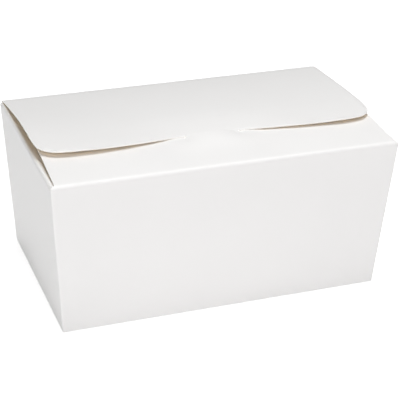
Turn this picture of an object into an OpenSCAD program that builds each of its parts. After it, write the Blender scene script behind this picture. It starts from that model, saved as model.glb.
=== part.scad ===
// Ballotin carton: a flared folding box of coated board, closed by two
// bowed top flaps that lock with a tongue through a slit.
// Millimetres. Origin at the middle of the bottom, X along the length,
// the front is at -Y, Z up.

/* [Body] */
// Length over the top creases
top_length = 154; // [146:1:166]
// Width over the top creases
top_width = 90; // [84:1:98]
// Length over the bottom creases
base_length = 144.2; // [136:0.2:145]
// Width over the bottom creases
base_width = 84.8; // [76:0.2:84.8]
// Height over the front and back top creases
height = 70.5; // [60:0.5:90]
// Thickness of the board
board = 0.45; // [0.35:0.05:0.5]
// Outer radius of a folded crease
crease_r = 0.9; // [0.8:0.05:1]

/* [Back flap] */
// Height of the highest line of the back flap over its crease
crown = 4; // [3.8:0.1:4.6]
// Distance from the back crease to that line
crown_at = 53.1; // [51:0.1:56]
// Distance from the front crease to the free edge at the wings
wing_show = 20.8; // [19.6:0.1:21.6]
// Radius of the two free corners
wing_corner = 9.5; // [6:0.5:14]

/* [Front flap] */
// Angle at which the front flap leaves its crease
front_rise = 7.64; // [7:0.02:7.7]
// Radius that the front flap is bowed to
front_bow = 450; // [400:10:460]
// Depth of the front flap, most of it under the back flap
front_depth = 34.1; // [30:0.1:34.5]

/* [Lock] */
// Width of the slit between its relief dots
slit_width = 24.4; // [20:0.2:28]
// Distance from the front crease bead to the relief dots
slit_at = 23.4; // [22.8:0.1:23.8]
// How far the slit bows to the back
slit_bow = 1.5; // [1:0.1:2]
// Depth of the tongue under the lip
tongue_depth = 11.5; // [9:0.5:12]
// How far the tongue stays from the slit's ends
tongue_side = 1.7; // [1.4:0.1:3]
// Radius of the tongue's corners
tongue_corner = 5; // [3:0.5:6]
// Clearance at the lock
lock_gap = 0.08; // [0.06:0.01:0.12]
// Radius of the relief dots
dot_r = 0.55; // [0.4:0.05:0.7]

/* [Dust flaps] */
// Depth of the two dust flaps
dust_depth = 43; // [34:1:48]
// Angle at which they slope down
dust_slope = 8; // [6:0.5:12]
// How far they stay from the long walls
dust_side = 2.7; // [2.4:0.1:5]
// Radius of their free corners
dust_corner = 8; // [4:1:12]

/* [Hidden] */
$fn = 96;
fine = 720;
over = 0.04;
turn_gap = 0.08;
end_drop = 0.55;
root_cover = 2;
trim_under = 4;
trim_over = 12;

// Middle of the long crease beads and of the end crease beads
long_y = top_width / 2 - crease_r;
long_z = height - crease_r;
end_x = top_length / 2 - crease_r;
end_z = height - end_drop - crease_r;
post_top = height - 1.25;
bead_half = top_length / 2 - 2 * crease_r - 0.2;
skin = crease_r - over;

// Circle of the back flap's top face, seen from its own crease bead
back_a = 2 * atan((crown + over) / crown_at);
back_r = crown_at / sin(back_a);

// Circle of the lip's slit in plan, and the bent-up lip over it
slit_r = (pow(slit_width / 2, 2) + pow(slit_bow, 2)) / (2 * slit_bow);
slit_c = slit_at + slit_bow - slit_r;
lip_root = slit_at - 11.3;
lip_s = slit_at + slit_bow;
lip_top = back_top(2 * long_y - lip_s) - 0.02;
lip_tilt = atan((lip_top - front_top(lip_root)) / (lip_s - lip_root));
dot_rise = front_top(lip_root) + (slit_at - lip_root) * tan(lip_tilt) - front_top(slit_at);
lip_r = (pow(slit_width / 2, 2) + pow(dot_rise, 2)) / (2 * dot_rise);

// Height of a flap's top face over its bead's middle, at a distance from it
function bowed(s, a, r) = skin - r * cos(a) + sqrt(r * r - pow(s - r * sin(a), 2));
function back_top(s) = bowed(s, back_a, back_r);
function front_top(s) = bowed(s, front_rise, front_bow);

// A flat wall, its outer face through the bottom and the top crease
module wall(low, high, run, top_z) {
    lean = atan(run / height);
    slant = height / cos(lean);
    u0 = crease_r * 0.8;
    u1 = top_z / cos(lean);
    step = (high - low) / 2 / slant;
    x0 = low / 2 - crease_r + step * u0;
    x1 = low / 2 - crease_r + step * u1;
    rotate([90 + lean, 0, 0])
        translate([0, 0, -over - board])
            linear_extrude(board)
                polygon([[-x0, u0], [x0, u0], [x1, u1], [-x1, u1]]);
}

// The rounded folded edge between two walls, at the back right
module post() {
    dx = (top_length - base_length) / 2;
    dy = (top_width - base_width) / 2;
    run = sqrt(dx * dx + dy * dy);
    intersection() {
        translate([base_length / 2 - crease_r, base_width / 2 - crease_r, 0])
            rotate([0, atan(run / height), atan2(dy, dx)])
                translate([0, 0, -2])
                    cylinder(r = crease_r, h = height + 6);
        cube([top_length, top_width, post_top]);
    }
}

// A straight crease bead along X, centred
module bead(r, half) {
    translate([-half, 0, 0])
        rotate([0, 90, 0])
            cylinder(r = r, h = 2 * half);
}

// A solid cylinder along X whose top passes through a flap's top face
module bow(a, r, off) {
    translate([-top_length, r * sin(a), skin - r * cos(a)])
        rotate([0, 90, 0])
            cylinder(r = r - off, h = 2 * top_length, $fn = fine);
}

// A sheet of board bowed to a circle, as wide and deep as the outline
module bowed_sheet(a, r) {
    difference() {
        intersection() {
            bow(a, r, 0);
            translate([0, 0, -3])
                linear_extrude(16)
                    children();
        }
        bow(a, r, board);
    }
}

// The slit's line in plan, as the disc in front of it
module slit_disc(grow) {
    translate([0, slit_c])
        circle(r = slit_r + grow, $fn = fine);
}

// The round space under the bent-up lip, or the lip's outside
module lip_round(off) {
    translate([0, lip_root, front_top(lip_root)])
        rotate([lip_tilt, 0, 0])
            translate([0, -6, -lip_r])
                rotate([-90, 0, 0])
                    cylinder(r = lip_r - off, h = 30, $fn = fine);
}

module front_outline() {
    half = top_length / 2 - 1.6;
    back = top_length / 2 - 2.4;
    polygon([
        [-half, 0], [half, 0],
        [back, front_depth - 6], [back - 6, front_depth],
        [6 - back, front_depth], [-back, front_depth - 6]
    ]);
}

// Front flap with its slit and the lip that stands over the tongue
module front_flap() {
    difference() {
        bowed_sheet(front_rise, front_bow) front_outline();
        // The space that the tongue takes under the lip
        intersection() {
            lip_round(board);
            translate([0, 0, -8])
                linear_extrude(24)
                    intersection() {
                        slit_disc(0);
                        translate([-slit_width / 2 - 2, lip_root - 2])
                            square([slit_width + 4, 30]);
                    }
        }
        // The slit, pushed open to the back
        translate([0, 0, -8])
            linear_extrude(24)
                difference() {
                    translate([-slit_width / 2 + 1.2, slit_at - 1])
                        square([slit_width - 2.4, 5]);
                    slit_disc(0);
                }
    }
    difference() {
        intersection() {
            lip_round(0);
            translate([0, 0, -1])
                linear_extrude(12)
                    intersection() {
                        slit_disc(0);
                        translate([-slit_width / 2 - 1, lip_root - 1])
                            square([slit_width + 2, 30]);
                    }
        }
        lip_round(board);
        bow(front_rise, front_bow, board / 2);
    }
}

module dust_outline() {
    half = top_width / 2 - dust_side;
    free = half - 5;
    c = dust_corner;
    intersection() {
        polygon([[0, -half], [0, half], [dust_depth, free], [dust_depth, -free]]);
        union() {
            translate([-1, -half - 1])
                square([dust_depth - c + 1, 2 * half + 2]);
            translate([-1, -free + c - 0.8])
                square([dust_depth + 2, 2 * free - 2 * c + 1.6]);
            for (s = [-1, 1])
                translate([dust_depth - c, s * (free - c + 0.8)])
                    circle(r = c);
        }
    }
}

// A dust flap, drawn at the left end
module dust_flap() {
    rotate([0, dust_slope, 0])
        translate([0, 0, skin - board])
            linear_extrude(board)
                dust_outline();
    rotate([90, 0, 0])
        translate([0, 0, -top_width / 2 + dust_side - 0.4])
            cylinder(r = crease_r, h = top_width - 2 * dust_side + 0.8);
}

// Bottom panel with its four crease beads
module bottom() {
    x = base_length / 2 - crease_r;
    y = base_width / 2 - crease_r;
    translate([-x, -y, 0])
        cube([2 * x, 2 * y, board]);
    intersection() {
        for (s = [-1, 1]) {
            translate([0, s * y, crease_r - over])
                bead(crease_r, x);
            translate([s * x, 0, crease_r - over])
                rotate([0, 0, 90])
                    bead(crease_r, y);
        }
        translate([-top_length, -top_width, 0])
            cube([2 * top_length, 2 * top_width, 4]);
    }
}

// Walls, bottom, dust flaps and front flap: one folded blank
module carton() {
    run_y = (top_width - base_width) / 2;
    run_x = (top_length - base_length) / 2;
    color("whitesmoke") {
        bottom();
        translate([0, -base_width / 2, 0])
            wall(base_length, top_length, run_y, long_z);
        for (s = [-1, 1])
            translate([s * base_length / 2, 0, 0])
                rotate([0, 0, s * 90])
                    wall(base_width, top_width, run_x, end_z);
        for (mx = [0, 1])
            for (my = [0, 1])
                mirror([mx, 0, 0])
                    mirror([0, my, 0])
                        post();
        difference() {
            translate([0, base_width / 2, 0])
                rotate([0, 0, 180])
                    wall(base_length, top_length, run_y, post_top);
            translate([0, long_y, long_z])
                bead(crease_r + turn_gap, top_length);
        }
        translate([0, -long_y, long_z]) {
            bead(crease_r, bead_half);
            front_flap();
        }
        translate([-end_x, 0, end_z])
            dust_flap();
        translate([end_x, 0, end_z])
            rotate([0, 0, 180])
                dust_flap();
    }
}

// Plan of the back flap from its crease to the wings
module back_outline() {
    deep = top_width - crease_r - wing_show - crease_r;
    c = wing_corner;
    near = top_length / 2 - 0.4;
    side = top_length / 2 - 1.65;
    difference() {
        polygon([
            [-near, 0], [near, 0],
            [side + 0.15, 30], [side, deep - c],
            [side, deep - 0.7], [side - c, deep - 0.7],
            [56, deep + 0.35], [47, deep + 0.9], [38, deep + 1],
            [30, deep + 0.5], [22, deep - 0.4], [12, deep - 2.2],
            [-12, deep - 2.2], [-22, deep - 0.4], [-30, deep + 0.5],
            [-38, deep + 1], [-47, deep + 0.9], [-56, deep + 0.35],
            [c - side, deep - 0.7], [-side, deep - 0.7],
            [-side, deep - c], [-side - 0.15, 30]
        ]);
        // Rounded free corners
        for (m = [0, 1])
            mirror([m, 0])
                translate([side - c, deep - 0.7 - c])
                    difference() {
                        square(c + 2);
                        circle(r = c);
                    }
    }
}

// The back flap: crease bead and bowed panel, in its own flap frame
module back_flap() {
    lip_y = 2 * long_y - slit_c;
    color("white")
        translate([0, long_y, long_z])
            mirror([0, 1, 0]) {
                bead(crease_r, bead_half);
                bowed_sheet(back_a, back_r)
                    difference() {
                        back_outline();
                        translate([0, lip_y])
                            circle(r = slit_r + 0.12, $fn = fine);
                        for (s = [-1, 1])
                            translate([s * slit_width / 2, 2 * long_y - slit_at])
                                circle(r = dot_r);
                    }
            }
}

// The tongue: the middle of the back flap's free edge, bent down through the slit
module lock_tongue() {
    half = slit_width / 2 - tongue_side;
    back = slit_at + slit_bow + root_cover;
    tip = lip_s - tongue_depth;
    color("wheat")
        difference() {
            translate([0, -long_y, long_z])
                difference() {
                    intersection() {
                        lip_round(board + lock_gap);
                        translate([0, 0, -trim_under])
                            linear_extrude(trim_under + trim_over)
                                union() {
                                    translate([-half, tip + tongue_corner])
                                        square([2 * half, back - tip - tongue_corner]);
                                    translate([tongue_corner - half, tip])
                                        square([2 * (half - tongue_corner), tongue_corner + over]);
                                    for (s = [-1, 1])
                                        translate([s * (half - tongue_corner), tip + tongue_corner])
                                            circle(r = tongue_corner);
                                }
                    }
                    lip_round(2 * board + lock_gap);
                }
            // Nothing of it stands into the panel that it hangs under
            translate([0, long_y, long_z])
                mirror([0, 1, 0])
                    difference() {
                        translate([-slit_width, long_y, -trim_under])
                            cube([2 * slit_width, long_y, trim_under + trim_over]);
                        bow(back_a, back_r, board);
                    }
        }
}

carton();
back_flap();
lock_tongue();
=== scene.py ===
import math

import bmesh
import bpy
from mathutils import Matrix, Vector


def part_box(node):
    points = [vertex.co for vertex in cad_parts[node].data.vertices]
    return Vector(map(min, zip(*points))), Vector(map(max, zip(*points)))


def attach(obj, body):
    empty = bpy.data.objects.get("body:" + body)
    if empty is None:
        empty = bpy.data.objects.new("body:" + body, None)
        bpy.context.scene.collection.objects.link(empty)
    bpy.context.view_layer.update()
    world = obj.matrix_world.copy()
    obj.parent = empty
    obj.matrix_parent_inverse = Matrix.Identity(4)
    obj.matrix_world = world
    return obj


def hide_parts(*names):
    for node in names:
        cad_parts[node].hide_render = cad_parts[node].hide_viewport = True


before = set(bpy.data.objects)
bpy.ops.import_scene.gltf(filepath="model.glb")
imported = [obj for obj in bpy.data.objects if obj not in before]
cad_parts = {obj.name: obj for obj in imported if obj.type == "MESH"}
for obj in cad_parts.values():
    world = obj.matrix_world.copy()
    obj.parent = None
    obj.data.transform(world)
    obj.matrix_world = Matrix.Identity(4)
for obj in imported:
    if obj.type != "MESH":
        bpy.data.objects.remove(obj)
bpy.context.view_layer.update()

# Carton body: bottom and four walls leaning outwards, one sheet of 350 g board,
# die cut, creased, folded up and glued inside the corners. It is coated white
# outside, left tan inside, and shows a pale core along its cuts, painted
# brighter than the coated face as a highlight.
MM = 0.001
low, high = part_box("carton")
TOP_LENGTH = high.x - low.x
TOP_WIDTH = -2 * low.y
BASE_LENGTH = 144.2 * MM
BASE_WIDTH = 84.8 * MM
HEIGHT = 70.5 * MM
BOARD = 0.45 * MM
LONG_LEAN = math.atan2((TOP_WIDTH - BASE_WIDTH) / 2, HEIGHT)
END_LEAN = math.atan2((TOP_LENGTH - BASE_LENGTH) / 2, HEIGHT)
FOLD_R = 1.6 * MM
UPRIGHT_R = 0.8 * MM
END_R = 1.2 * MM
RIM = HEIGHT - 2.4 * MM
HINGE_GAP = 0.3 * MM
DUST_GAP = 0.35 * MM
rim_length = BASE_LENGTH + 2 * RIM * math.tan(END_LEAN)
rim_width = BASE_WIDTH + 2 * RIM * math.tan(LONG_LEAN)
HINGE_HALF = rim_length / 2 - FOLD_R - HINGE_GAP
DUST_HALF = rim_width / 2 - FOLD_R - DUST_GAP
TOUCH = 0.05 * MM


def paper_tooth():
    """A group that gives the faint unevenness of coated or bare board."""
    group = bpy.data.node_groups.new("paper_tooth", "ShaderNodeTree")
    for name, kind, start in (("Scale", "NodeSocketFloat", 900.0), ("Cloud", "NodeSocketFloat", 40.0)):
        socket = group.interface.new_socket(name, in_out="INPUT", socket_type=kind)
        socket.default_value = start
    group.interface.new_socket("Tooth", in_out="OUTPUT", socket_type="NodeSocketFloat")
    group.interface.new_socket("Cloud", in_out="OUTPUT", socket_type="NodeSocketFloat")
    nodes, links = group.nodes, group.links
    given = nodes.new("NodeGroupInput")
    place = nodes.new("ShaderNodeTexCoord")
    fine = nodes.new("ShaderNodeTexNoise")
    fine.inputs["Detail"].default_value = 3
    broad = nodes.new("ShaderNodeTexNoise")
    broad.inputs["Detail"].default_value = 2
    out = nodes.new("NodeGroupOutput")
    links.new(place.outputs["Object"], fine.inputs["Vector"])
    links.new(place.outputs["Object"], broad.inputs["Vector"])
    links.new(given.outputs["Scale"], fine.inputs["Scale"])
    links.new(given.outputs["Cloud"], broad.inputs["Scale"])
    links.new(fine.outputs["Fac"], out.inputs["Tooth"])
    links.new(broad.outputs["Fac"], out.inputs["Cloud"])
    return group


TOOTH = paper_tooth()


def board_finish(name, colour, shade, rough, tooth_scale, tooth_depth, cloud_scale):
    """A board surface: two near tones in soft clouds, and a fine tooth in the gloss."""
    finish = bpy.data.materials.new(name)
    finish.use_nodes = True
    nodes, links = finish.node_tree.nodes, finish.node_tree.links
    shader = nodes["Principled BSDF"]
    shader.inputs["Specular IOR Level"].default_value = 0.4
    tooth = nodes.new("ShaderNodeGroup")
    tooth.node_tree = TOOTH
    tooth.inputs["Scale"].default_value = tooth_scale
    tooth.inputs["Cloud"].default_value = cloud_scale
    tones = nodes.new("ShaderNodeMix")
    tones.data_type = "RGBA"
    tones.inputs["A"].default_value = (*shade, 1)
    tones.inputs["B"].default_value = (*colour, 1)
    gloss = nodes.new("ShaderNodeMapRange")
    gloss.inputs["To Min"].default_value = rough - 0.06
    gloss.inputs["To Max"].default_value = rough + 0.06
    relief = nodes.new("ShaderNodeBump")
    relief.inputs["Strength"].default_value = 0.35
    relief.inputs["Distance"].default_value = tooth_depth
    links.new(tooth.outputs["Cloud"], tones.inputs["Factor"])
    links.new(tones.outputs["Result"], shader.inputs["Base Color"])
    links.new(tooth.outputs["Tooth"], gloss.inputs["Value"])
    links.new(gloss.outputs["Result"], shader.inputs["Roughness"])
    links.new(tooth.outputs["Tooth"], relief.inputs["Height"])
    links.new(relief.outputs["Normal"], shader.inputs["Normal"])
    return finish


COATED = board_finish("coated_white", (0.90, 0.895, 0.885), (0.885, 0.88, 0.87), 0.42, 1400, 0.00001, 45)
BARE = board_finish("bare_tan", (0.84, 0.58, 0.23), (0.79, 0.54, 0.21), 0.8, 700, 0.00003, 160)
# Cut edge: a pale core, given a whiter tone than the coated face as a painted highlight along the cuts.
CUT_AND_HIGHLIGHT = board_finish("pale_cut_painted_highlight", (0.97, 0.96, 0.93), (0.95, 0.93, 0.89), 0.6, 1800, 0.00001, 300)
FACE, BACK, EDGE = 0, 1, 2


def start(piece_name, size):
    """The new primitive gets its name, its size and the board's finishes."""
    piece = bpy.context.object
    piece.name = piece_name
    piece.scale = size
    bpy.ops.object.transform_apply(location=True, rotation=True, scale=True)
    for finish in (COATED, BARE, CUT_AND_HIGHLIGHT):
        piece.data.materials.append(finish)
    return piece


def pick(piece, rule, kind="VERT"):
    """Selects the points of the piece that the rule names, and the edges and faces between them."""
    bpy.ops.mesh.select_mode(type=kind)
    bpy.ops.mesh.select_all(action="DESELECT")
    mesh = bmesh.from_edit_mesh(piece.data)
    if kind == "VERT":
        for point in mesh.verts:
            point.select_set(rule(point.co))
        mesh.select_flush(True)
    else:
        for edge in mesh.edges:
            edge.select_set(all(rule(point.co) for point in edge.verts))
    bmesh.update_edit_mesh(piece.data)


def near(a, b, gap=0.00002):
    return abs(a - b) < gap


def thicken(piece):
    """The sheet gets the board's thickness to its inside, bare on the back and pale along its cuts, where a
    painted highlight brightens the edge.
    """
    bpy.ops.mesh.select_all(action="SELECT")
    bpy.ops.mesh.normals_make_consistent(inside=False)
    mesh = bmesh.from_edit_mesh(piece.data)
    topmost = max(mesh.faces, key=lambda face: face.calc_center_median().z)
    if topmost.normal.z < 0:
        bpy.ops.mesh.flip_normals()
    bpy.ops.object.mode_set(mode="OBJECT")
    wall = piece.modifiers.new("board", "SOLIDIFY")
    wall.thickness = BOARD
    wall.offset = -1
    wall.use_even_offset = True
    wall.material_offset = BACK
    wall.material_offset_rim = EDGE
    bpy.ops.object.modifier_apply(modifier="board")


bpy.ops.object.select_all(action="DESELECT")
bpy.ops.mesh.primitive_cube_add(size=1, location=(0, 0, RIM / 2))
carton = start("carton_board", (BASE_LENGTH, BASE_WIDTH, RIM))
bpy.ops.object.mode_set(mode="EDIT")
pick(carton, lambda p: near(p.z, RIM))
bpy.ops.transform.resize(value=(rim_length / BASE_LENGTH, rim_width / BASE_WIDTH, 1), center_override=(0, 0, RIM))
bpy.ops.mesh.delete(type="ONLY_FACE")
bpy.ops.mesh.select_mode(type="EDGE")
mesh = bmesh.from_edit_mesh(carton.data)
for edge in mesh.edges:
    edge.select_set(not all(near(point.co.z, RIM) for point in edge.verts))
bmesh.update_edit_mesh(carton.data)
bpy.ops.mesh.bevel(offset=UPRIGHT_R, segments=6, affect="EDGES", clamp_overlap=True)
for x in (-HINGE_HALF, HINGE_HALF):
    pick(carton, lambda p: True)
    bpy.ops.mesh.bisect(plane_co=(x, 0, 0), plane_no=(1, 0, 0))
for y in (-DUST_HALF, DUST_HALF, FOLD_R - rim_width / 2, rim_width / 2 - FOLD_R):
    pick(carton, lambda p: True)
    bpy.ops.mesh.bisect(plane_co=(0, y, 0), plane_no=(0, 1, 0))

# Back wall: it stops just under the crease bead of the back flap.
BACK_WALL_RISE = 0.6 * MM
pick(carton, lambda p: near(p.z, RIM) and p.y > rim_width / 2 - TOUCH
     and abs(p.x) < HINGE_HALF + TOUCH, "EDGE")
bpy.ops.mesh.extrude_edges_move(TRANSFORM_OT_translate={
    "value": (0, BACK_WALL_RISE * math.sin(LONG_LEAN), BACK_WALL_RISE * math.cos(LONG_LEAN))})

# Dust flaps: each end wall rolls over its crease, a little lower than the long
# ones, and slopes down inside the box. The two free corners are rounded.
DUST_DEPTH = 43 * MM
DUST_SLOPE = math.radians(8)
DUST_STEP = 0.9 * MM
DUST_NARROW = 5.3 * MM
DUST_ROOT = 0.6 * MM
DUST_CORNER = 8 * MM
END_DROP = 0.55 * MM
end_crease_z = HEIGHT - END_DROP - END_R
for side in (-1, 1):
    rise = end_crease_z - RIM
    pick(carton, lambda p: near(p.z, RIM) and side * p.x > rim_length / 2 - TOUCH
         and abs(p.y) < DUST_HALF + TOUCH, "EDGE")
    bpy.ops.mesh.extrude_edges_move(TRANSFORM_OT_translate={
        "value": (side * rise * math.tan(END_LEAN), 0, rise)})
    middle = Vector((side * (rim_length / 2 + rise * math.tan(END_LEAN) - END_R * math.cos(END_LEAN)), 0,
                     end_crease_z + END_R * math.sin(END_LEAN)))
    bpy.ops.mesh.spin(
        steps=7, angle=side * (math.pi / 2 + END_LEAN + DUST_SLOPE), center=middle, axis=(0, 1, 0))
    for reach, narrow in ((DUST_ROOT, DUST_STEP), (DUST_DEPTH - DUST_ROOT, DUST_NARROW)):
        bpy.ops.mesh.extrude_edges_move(TRANSFORM_OT_translate={
            "value": (-side * reach * math.cos(DUST_SLOPE), 0, -reach * math.sin(DUST_SLOPE))})
        bpy.ops.transform.resize(value=(1, 1 - narrow / DUST_HALF, 1), center_override=(0, 0, 0))
    bpy.ops.mesh.select_mode(type="VERT")
    bpy.ops.mesh.bevel(offset=DUST_CORNER, segments=8, affect="VERTICES")

# Front crease and front flap: the front wall runs on over the crease, and the
# board rises inwards and bows. The flap gets a little narrower to its free edge.
FRONT_RISE = math.radians(6.6)
FRONT_FLATTEN = 0.1333 / (60 * MM)
FRONT_COLUMNS = 74
CREASE_STEPS = 7
SLIT_Y = -20.7 * MM
FREE_Y = -10 * MM
SLIT_HALF = 12.2 * MM
SLIT_BOW = 1.5 * MM


def draw_out(steps, depth, slope, flatten, side, narrow=0.0):
    """Draws the selected edge out in rows, each rising a little less, so the flap is bowed."""
    step = depth / steps
    for row in range(steps):
        rise = slope - flatten * (row + 0.5) * step
        bpy.ops.mesh.extrude_edges_move(TRANSFORM_OT_translate={"value": (0, side * step, step * rise)})
        if narrow:
            bpy.ops.transform.resize(value=(1 - narrow / steps, 1, 1), center_override=(0, 0, 0))


to_crease = HEIGHT - FOLD_R - RIM
front_top = Vector((0, -rim_width / 2 - to_crease * math.tan(LONG_LEAN), HEIGHT - FOLD_R))
pick(carton, lambda p: near(p.z, RIM) and p.y < -rim_width / 2 + TOUCH
     and abs(p.x) < HINGE_HALF + TOUCH, "EDGE")
bpy.ops.mesh.extrude_edges_move(
    TRANSFORM_OT_translate={"value": (0, -to_crease * math.tan(LONG_LEAN), to_crease)})
bpy.ops.mesh.subdivide(number_cuts=FRONT_COLUMNS - 1)
crease_mid = front_top + FOLD_R * Vector((0, math.cos(LONG_LEAN), math.sin(LONG_LEAN)))
crease_turn = math.pi / 2 + LONG_LEAN - FRONT_RISE
bpy.ops.mesh.spin(steps=CREASE_STEPS, angle=crease_turn, center=crease_mid, axis=(1, 0, 0))
flap_start = crease_mid.y - FOLD_R * math.sin(FRONT_RISE)
to_slit = SLIT_Y - flap_start
draw_out(12, to_slit, FRONT_RISE, FRONT_FLATTEN, 1, narrow=0.007)
draw_out(6, FREE_Y - SLIT_Y, FRONT_RISE - FRONT_FLATTEN * to_slit, FRONT_FLATTEN, 1, narrow=0.003)

# Corners: the upright creases run up between the front or back crease and the
# end crease, and close over in a small dome, which is lower at the back.
BACK_DOME = 0.45
for right in (-1, 1):
    for rear in (-1, 1):
        pick(carton, lambda p: near(p.z, RIM) and right * p.x > HINGE_HALF - 0.01 * MM
             and rear * p.y > rim_width / 2 - FOLD_R - 0.01 * MM, "EDGE")
        bpy.ops.mesh.extrude_edges_move(TRANSFORM_OT_translate={
            "value": (right * to_crease * math.tan(END_LEAN) * 0.5, rear * to_crease * math.tan(LONG_LEAN),
                      to_crease)})
        for ring in range(CREASE_STEPS):
            below, above = (crease_turn * n / CREASE_STEPS - LONG_LEAN for n in (ring, ring + 1))
            bpy.ops.mesh.extrude_edges_move(TRANSFORM_OT_translate={
                "value": (0, 0, (BACK_DOME if rear > 0 else 1) * FOLD_R * (math.sin(above) - math.sin(below)))})
            shrink = math.cos(above) / math.cos(below)
            bpy.ops.transform.resize(
                value=(shrink, shrink, 1), center_override=(right * HINGE_HALF, -rear * crease_mid.y, 0))
bpy.ops.mesh.select_all(action="SELECT")
bpy.ops.mesh.remove_doubles(threshold=0.05 * MM)

# Lock slit: cut in a shallow arc across the front flap. The tongue pushes up the
# lip in front of it, and presses the board behind it down.
LIP_RISE = 0.75 * MM
LIP_CROWN = 0.3 * MM
REAR_DROP = 0.6 * MM
TIP_DROP = 0.35 * MM


def lift(height, reach, joined=True, falloff="SMOOTH"):
    """The selected points are raised, and the board round them follows softly."""
    bpy.ops.transform.translate(
        value=(0, 0, height), use_proportional_edit=True, use_proportional_connected=joined,
        proportional_edit_falloff=falloff, proportional_size=reach)


pick(carton, lambda p: near(p.y, SLIT_Y) and p.z > RIM and near(p.x, 0))
bpy.ops.transform.translate(
    value=(0, SLIT_BOW, 0), use_proportional_edit=True, use_proportional_connected=True,
    proportional_edit_falloff="INVERSE_SQUARE", proportional_size=SLIT_HALF)
lift(0.6 * MM, 30 * MM)


def on_slit(point):
    arc = SLIT_Y + SLIT_BOW * (1 - (point.x / SLIT_HALF) ** 2)
    return point.z > RIM and abs(point.x) < SLIT_HALF + 0.1 * MM and abs(point.y - arc) < 0.25 * MM


pick(carton, on_slit, "EDGE")
bpy.ops.mesh.edge_split(type="EDGE")


def slit_side(piece, front, half):
    """Selects the points on one side of the cut slit, as far out as half."""
    bpy.ops.mesh.select_mode(type="VERT")
    mesh = bmesh.from_edit_mesh(piece.data)
    for point in mesh.verts:
        point.select_set(False)
        if on_slit(point.co) and abs(point.co.x) < half and point.link_faces:
            ahead = all(face.calc_center_median().y < point.co.y for face in point.link_faces)
            behind = all(face.calc_center_median().y > point.co.y for face in point.link_faces)
            point.select_set(ahead if front else behind)
    bmesh.update_edit_mesh(piece.data)


slit_side(carton, False, 11 * MM)
lift(-REAR_DROP, 11 * MM)
slit_side(carton, True, 11 * MM)
lift(LIP_RISE, 14 * MM)
slit_side(carton, True, 3 * MM)
lift(LIP_CROWN, 14 * MM)
pick(carton, lambda p: on_slit(p) and abs(p.x) > 11.5 * MM)
lift(-TIP_DROP, 3 * MM)
# Beside the slit the flap bulges a little, more on the right.
for side, height in ((-1, 0.2 * MM), (1, 0.45 * MM)):
    pick(carton, lambda p: p.z > RIM and abs(p.y + 25 * MM) < 4 * MM and abs(side * p.x - 38 * MM) < 5 * MM)
    lift(height, 18 * MM)

thicken(carton)
bpy.ops.object.shade_smooth_by_angle(angle=math.radians(35))
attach(carton, "box")
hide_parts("carton")

# Back flap: the top of the box. It folds on the back crease, bows up over the
# front flap, and its middle is a tongue that goes through the slit under the lip.
CREASE_R = 0.9 * MM
BACK_RISE = 0.122
CREASE_RISE = 0.212
BACK_START = 4 * MM
BACK_FLATTEN = BACK_RISE / (53 * MM)
BACK_DEPTH = 78 * MM
BACK_COLUMNS = 64
back_crease = Vector((0, TOP_WIDTH / 2 - CREASE_R, HEIGHT - CREASE_R))
first = 1 * MM
bead_turn = math.atan(CREASE_RISE)
bead_front = back_crease + CREASE_R * Vector((0, math.sin(bead_turn), math.cos(bead_turn)))
bpy.ops.object.select_all(action="DESELECT")
bpy.ops.mesh.primitive_plane_add(size=1, location=(0, bead_front.y - first / 2, bead_front.z))
back_flap = start("back_flap_board", (TOP_LENGTH + 4 * MM, first, 1))
bpy.ops.object.mode_set(mode="EDIT")
pick(back_flap, lambda p: near(p.y, bead_front.y - first), "EDGE")
bpy.ops.transform.translate(value=(0, 0, first * CREASE_RISE))
mesh = bmesh.from_edit_mesh(back_flap.data)
for edge in mesh.edges:
    edge.select_set(near(edge.verts[0].co.y, edge.verts[1].co.y))
bmesh.update_edit_mesh(back_flap.data)
bpy.ops.mesh.subdivide(number_cuts=BACK_COLUMNS - 1)
pick(back_flap, lambda p: near(p.y, bead_front.y), "EDGE")
bpy.ops.mesh.spin(steps=8, angle=math.pi / 2 - bead_turn + LONG_LEAN, center=back_crease, axis=(1, 0, 0))
pick(back_flap, lambda p: near(p.y, bead_front.y - first) and p.z > HEIGHT - 0.1 * MM, "EDGE")
draw_out(2, BACK_START - first, CREASE_RISE, (CREASE_RISE - BACK_RISE) / (BACK_START - first), -1)
draw_out(30, BACK_DEPTH - BACK_START, BACK_RISE, BACK_FLATTEN, -1)

# Wings and tongue: the flap bends down to the lock, the tongue folds at its root
# to dip under the lip, and the wing corners stand up, the left one more.
LOCK_DIP = 1.3 * MM
TONGUE_FOLD = 1.75 * MM
RIGHT_WING_LIFT = 0.15 * MM
LEFT_WING_LIFT = 0.6 * MM
tip_y = bead_front.y - BACK_DEPTH + 2.5 * MM
pick(back_flap, lambda p: p.y < tip_y and abs(p.x) < 11.5 * MM)
lift(-LOCK_DIP, 32 * MM)
lift(-TONGUE_FOLD, tip_y * -1 - 20.6 * MM, falloff="LINEAR")
pick(back_flap, lambda p: p.y < -13 * MM and p.x > 66 * MM)
lift(RIGHT_WING_LIFT, 45 * MM)
pick(back_flap, lambda p: p.y < -4 * MM and p.x < -66 * MM)
lift(LEFT_WING_LIFT, 40 * MM)
thicken(back_flap)

# Die line of the back flap: two wings with rounded corners, the tongue between
# them, and the crease cut a little short at both ends. Points of the right half.
DIE_LINE = [
    (76.3, 47.0, "V"), (76.3, 42.2, "V"), (76.05, 36.0, "A"), (75.6, 19.0, "A"),
    (75.6, 0.0, "A"), (75.5, -13.2, "A"), (74.9, -17.2, "A"), (72.9, -20.5, "A"), (69.9, -22.7, "A"),
    (66.0, -23.7, "A"), (57.0, -24.2, "A"), (48.0, -24.3, "A"), (38.0, -23.7, "A"), (30.0, -22.6, "A"),
    (22.0, -21.3, "A"), (15.5, -20.5, "A"), (12.2, -20.7, "V"), (11.6, -24.0, "A"), (10.2, -28.0, "A"),
    (6.8, -31.0, "A"), (0.0, -31.8, "A")]


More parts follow.
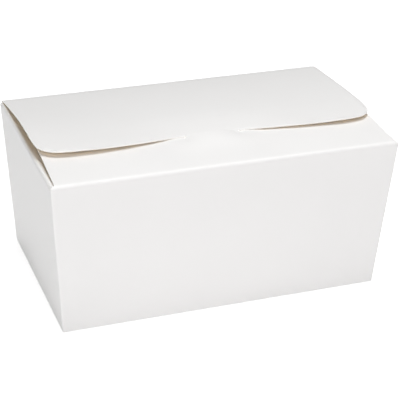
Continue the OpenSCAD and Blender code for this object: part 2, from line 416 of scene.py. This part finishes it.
def die_cutter(name, line, skew):
    """A closed prism over a mirrored die line, turned by the skew, to trim a flap with."""
    whole = line + [(-x, y, kind) for x, y, kind in reversed(line) if x > 0]
    bpy.ops.object.select_all(action="DESELECT")
    bpy.ops.curve.primitive_bezier_circle_add()
    cutter = bpy.context.object
    cutter.name = name
    curve = cutter.data
    curve.splines.clear()
    path = curve.splines.new("BEZIER")
    path.bezier_points.add(len(whole) - 1)
    path.use_cyclic_u = True
    for knot, (x, y, kind) in zip(path.bezier_points, whole):
        knot.co = (x * MM, y * MM, 0)
        knot.handle_left_type = knot.handle_right_type = "VECTOR" if kind == "V" else "AUTO"
    curve.resolution_u = 6
    curve.dimensions = "2D"
    curve.fill_mode = "BOTH"
    curve.extrude = 15 * MM
    bpy.ops.object.convert(target="MESH")
    cutter.location = (0, 0, HEIGHT)
    cutter.rotation_euler = (0, 0, skew)
    bpy.ops.object.transform_apply(location=True, rotation=True, scale=True)
    bpy.ops.object.mode_set(mode="EDIT")
    bpy.ops.mesh.select_all(action="SELECT")
    bpy.ops.mesh.remove_doubles(threshold=0.00001)
    bpy.ops.mesh.normals_make_consistent(inside=False)
    bpy.ops.object.mode_set(mode="OBJECT")
    cutter.data.materials.clear()
    for finish in (COATED, BARE, CUT_AND_HIGHLIGHT):
        cutter.data.materials.append(finish)
    for face in cutter.data.polygons:
        face.material_index = EDGE
    return cutter


def trim(piece, cutter, how):
    """The piece keeps what is inside the cutter, or loses it, and the cutter goes."""
    bpy.ops.object.select_all(action="DESELECT")
    piece.select_set(True)
    bpy.context.view_layer.objects.active = piece
    cut = piece.modifiers.new("trim", "BOOLEAN")
    cut.operation = how
    cut.solver = "EXACT"
    cut.material_mode = "INDEX"
    cut.object = cutter
    bpy.ops.object.modifier_apply(modifier="trim")
    bpy.data.objects.remove(cutter)


trim(back_flap, die_cutter("die_line", DIE_LINE, math.radians(-0.4)), "INTERSECT")

# Relief notches: a small round punch ends the cut on each side of the tongue. The
# die also leaves the cut edges slightly rounded.
RELIEF_R = 0.6 * MM
CUT_ROUND = 0.16 * MM
BACK_CREASE_Y = 42 * MM
for x, y in ((-11.9, -20.5), (12.4, -20.75)):
    bpy.ops.object.select_all(action="DESELECT")
    bpy.ops.mesh.primitive_cylinder_add(
        vertices=20, radius=RELIEF_R, depth=12 * MM, location=(x * MM, y * MM, HEIGHT))
    relief = start("relief_punch", (1, 1, 1))
    for face in relief.data.polygons:
        face.material_index = EDGE
    trim(back_flap, relief, "DIFFERENCE")
bpy.ops.object.select_all(action="DESELECT")
back_flap.select_set(True)
bpy.context.view_layer.objects.active = back_flap
bpy.ops.object.mode_set(mode="EDIT")
bpy.ops.mesh.select_mode(type="EDGE")
bpy.ops.mesh.select_all(action="DESELECT")
mesh = bmesh.from_edit_mesh(back_flap.data)
for edge in mesh.edges:
    finishes_met = {face.material_index for face in edge.link_faces}
    edge.select_set(len(edge.link_faces) == 2 and finishes_met == {FACE, EDGE}
                    and edge.verts[0].co.z > HEIGHT and edge.verts[0].co.y < BACK_CREASE_Y)
bmesh.update_edit_mesh(back_flap.data)
bpy.ops.mesh.bevel(offset=CUT_ROUND, segments=2, affect="EDGES", clamp_overlap=True, material=EDGE)
bpy.ops.object.mode_set(mode="OBJECT")
bpy.ops.object.shade_smooth_by_angle(angle=math.radians(35))
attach(back_flap, "flap")
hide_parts("back_flap", "lock_tongue")

# Photo stage: a white sweep, softboxes on the left and in front, and two small
# high lamps that draw the shadow lines. The sweep shows as plain white.
bpy.ops.object.select_all(action="DESELECT")
bpy.ops.mesh.primitive_plane_add(size=6, location=(0, 0, -0.0002))
floor = bpy.context.object
floor.name = "studio_floor"
ground = bpy.data.materials.new("studio_white")
ground.use_nodes = True
nodes, links = ground.node_tree.nodes, ground.node_tree.links
nodes["Principled BSDF"].inputs["Base Color"].default_value = (0.85, 0.85, 0.85, 1)
nodes["Principled BSDF"].inputs["Roughness"].default_value = 0.9
glow = nodes.new("ShaderNodeEmission")
path = nodes.new("ShaderNodeLightPath")
seen = nodes.new("ShaderNodeMath")
seen.operation = "MAXIMUM"
both = nodes.new("ShaderNodeAddShader")
level = nodes.new("ShaderNodeMath")
level.operation = "MULTIPLY"
level.inputs[1].default_value = 0.6
table = nodes.new("ShaderNodeMath")
table.operation = "MULTIPLY_ADD"
table.inputs[1].default_value = 0.1
links.new(path.outputs["Is Camera Ray"], seen.inputs[0])
links.new(path.outputs["Is Glossy Ray"], seen.inputs[1])
links.new(seen.outputs["Value"], level.inputs[0])
links.new(path.outputs["Is Diffuse Ray"], table.inputs[0])
links.new(level.outputs["Value"], table.inputs[2])
links.new(table.outputs["Value"], glow.inputs["Strength"])
links.new(nodes["Principled BSDF"].outputs["BSDF"], both.inputs[0])
links.new(glow.outputs["Emission"], both.inputs[1])
links.new(both.outputs["Shader"], nodes["Material Output"].inputs["Surface"])
floor.data.materials.append(ground)

world = bpy.data.worlds.new("studio")
bpy.context.scene.world = world
world.use_nodes = True
nodes, links = world.node_tree.nodes, world.node_tree.links
room = nodes["Background"]
room.inputs["Color"].default_value = (1, 1, 1, 1)
room.inputs["Strength"].default_value = 0.05
white = nodes.new("ShaderNodeBackground")
white.inputs["Strength"].default_value = 1
path = nodes.new("ShaderNodeLightPath")
swap = nodes.new("ShaderNodeMixShader")
links.new(path.outputs["Is Camera Ray"], swap.inputs["Fac"])
links.new(room.outputs["Background"], swap.inputs[1])
links.new(white.outputs["Background"], swap.inputs[2])
links.new(swap.outputs["Shader"], nodes["World Output"].inputs["Surface"])


def soft_lamp(name, bearing, height, reach, across, power):
    """An area lamp aimed at the box from a bearing, round from the front, and a height, in degrees."""
    light = bpy.data.lights.new(name, "AREA")
    light.shape = "DISK"
    light.size = across
    light.energy = power
    lamp = bpy.data.objects.new(name, light)
    bpy.context.scene.collection.objects.link(lamp)
    turn, up = math.radians(bearing), math.radians(height)
    way = Vector((math.sin(turn) * math.cos(up), -math.cos(turn) * math.cos(up), math.sin(up)))
    lamp.location = way * reach
    lamp.rotation_euler = way.to_track_quat("Z", "Y").to_euler()
    return lamp


soft_lamp("left_softbox", -55, 30, 1.5, 0.7, 6.55)
soft_lamp("front_softbox", 0, 30, 1.5, 0.7, 7.45).data.color = (1.0, 0.98, 0.992)
soft_lamp("high_back_lamp", 170, 76, 1.3, 0.35, 6.3)
soft_lamp("high_right_lamp", 80, 70, 1.1, 0.35, 3.2)

# Camera: fitted to the box's corners, with distances in lengths of the box.
FOCAL_PIXELS = 1360.38
IMAGE_PIXELS = 400
SENSOR = 36
camera = bpy.data.cameras.new("camera")
camera.sensor_width = SENSOR
camera.lens = FOCAL_PIXELS / IMAGE_PIXELS * SENSOR
camera_object = bpy.data.objects.new("camera", camera)
bpy.context.scene.collection.objects.link(camera_object)
azimuth, elevation, roll = math.radians(-20.994), math.radians(27.599), math.radians(2.043)
target = Vector((0.0231 * TOP_LENGTH, 0, 0.1987 * TOP_LENGTH))
distance = 3.999 * TOP_LENGTH
view = Vector((math.sin(azimuth) * math.cos(elevation), -math.cos(azimuth) * math.cos(elevation),
               math.sin(elevation)))
camera_object.location = target + distance * view
turn = view.to_track_quat("Z", "Y")
camera_object.rotation_euler = (turn.to_matrix().to_4x4() @ Matrix.Rotation(roll, 4, "Z")).to_euler()
bpy.context.scene.camera = camera_object
bpy.context.scene.view_settings.view_transform = "Standard"
